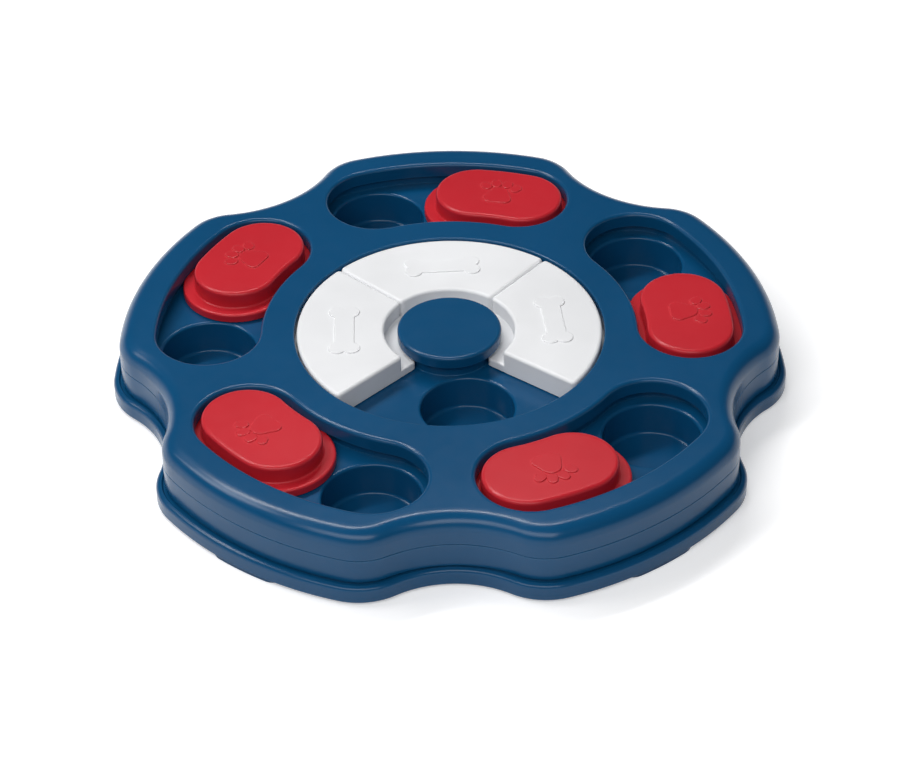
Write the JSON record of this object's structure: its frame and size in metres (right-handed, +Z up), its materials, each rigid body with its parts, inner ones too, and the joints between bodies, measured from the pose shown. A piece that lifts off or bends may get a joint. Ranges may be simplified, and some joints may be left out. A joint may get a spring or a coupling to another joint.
{
  "type": "dog puzzle feeder toy",
  "caption": "Five-lobed puzzle feeder: red sliders in curved slots and white sector lids round a centre knob cover round treat wells.",
  "frame": {"origin": "on the table plane, under the centre of the case (the common axis of the centre knob and of all turning pieces)", "axes": "+Z up, +Y towards the back lobe, the picture looks along +Y from the front"},
  "size_m": [0.285, 0.279, 0.0335],
  "materials": {
    "blue_shell": "satin moulded polypropylene",
    "red_slider": "satin moulded plastic",
    "white_sector": "satin moulded plastic",
    "foot_pad": "soft moulded elastomer",
    "screw_steel": "zinc plated"
  },
  "bodies": {
    "case": {"top_cover": "blue_shell", "cover_rims": "blue_shell", "cover_bosses": "blue_shell", "tray": "blue_shell", "tray_floor": "blue_shell", "tray_floor_back": "blue_shell", "tray_floor_right": "blue_shell", "tray_floor_front_right": "blue_shell", "tray_floor_front_left": "blue_shell", "tray_floor_left": "blue_shell", "tray_wells": "blue_shell", "tray_guides": "blue_shell", "tray_hub": "blue_shell", "base": "blue_shell", "base_skirt": "blue_shell", "base_posts": "blue_shell", "knob_cap": "blue_shell", "knob_washer": "screw_steel", "knob_screw": "screw_steel", "case_screws": "screw_steel", "foot_back": "foot_pad", "foot_right": "foot_pad", "foot_front_right": "foot_pad", "foot_front_left": "foot_pad", "foot_left": "foot_pad"},
    "slider_back": {"slider_back": "red_slider"},
    "slider_right": {"slider_right": "red_slider"},
    "slider_front_right": {"slider_front_right": "red_slider"},
    "slider_front_left": {"slider_front_left": "red_slider"},
    "slider_left": {"slider_left": "red_slider"},
    "sector_left": {"sector_left": "white_sector"},
    "sector_back": {"sector_back": "white_sector"},
    "sector_right": {"sector_right": "white_sector"}
  },
  "joints": [
    {"name": "slider_back_travel", "type": "hinge", "parent": "case", "child": "slider_back", "pos_m": [0, 0, 0.0213], "axis": [0, 0, 1], "range_deg": [0, 26.4]},
    {"name": "slider_right_travel", "type": "hinge", "parent": "case", "child": "slider_right", "pos_m": [0, 0, 0.0213], "axis": [0, 0, 1], "range_deg": [0, 26.4]},
    {"name": "slider_front_right_travel", "type": "hinge", "parent": "case", "child": "slider_front_right", "pos_m": [0, 0, 0.0213], "axis": [0, 0, 1], "range_deg": [0, 26.4]},
    {"name": "slider_front_left_travel", "type": "hinge", "parent": "case", "child": "slider_front_left", "pos_m": [0, 0, 0.0213], "axis": [0, 0, 1], "range_deg": [0, 26.4]},
    {"name": "slider_left_travel", "type": "hinge", "parent": "case", "child": "slider_left", "pos_m": [0, 0, 0.0213], "axis": [0, 0, 1], "range_deg": [0, 26.4]},
    {"name": "sector_back_turn", "type": "hinge", "parent": "case", "child": "sector_back", "pos_m": [0, 0, 0.0213], "axis": [0, 0, 1], "continuous": true},
    {"name": "sector_left_turn", "type": "hinge", "parent": "case", "child": "sector_left", "pos_m": [0, 0, 0.0213], "axis": [0, 0, 1], "continuous": true},
    {"name": "sector_right_turn", "type": "hinge", "parent": "case", "child": "sector_right", "pos_m": [0, 0, 0.0213], "axis": [0, 0, 1], "continuous": true}
  ],
  "couplings": [
    {"joint": "sector_left_turn", "follows": "sector_back_turn", "ratio": 1},
    {"joint": "sector_right_turn", "follows": "sector_back_turn", "ratio": 1}
  ]
}
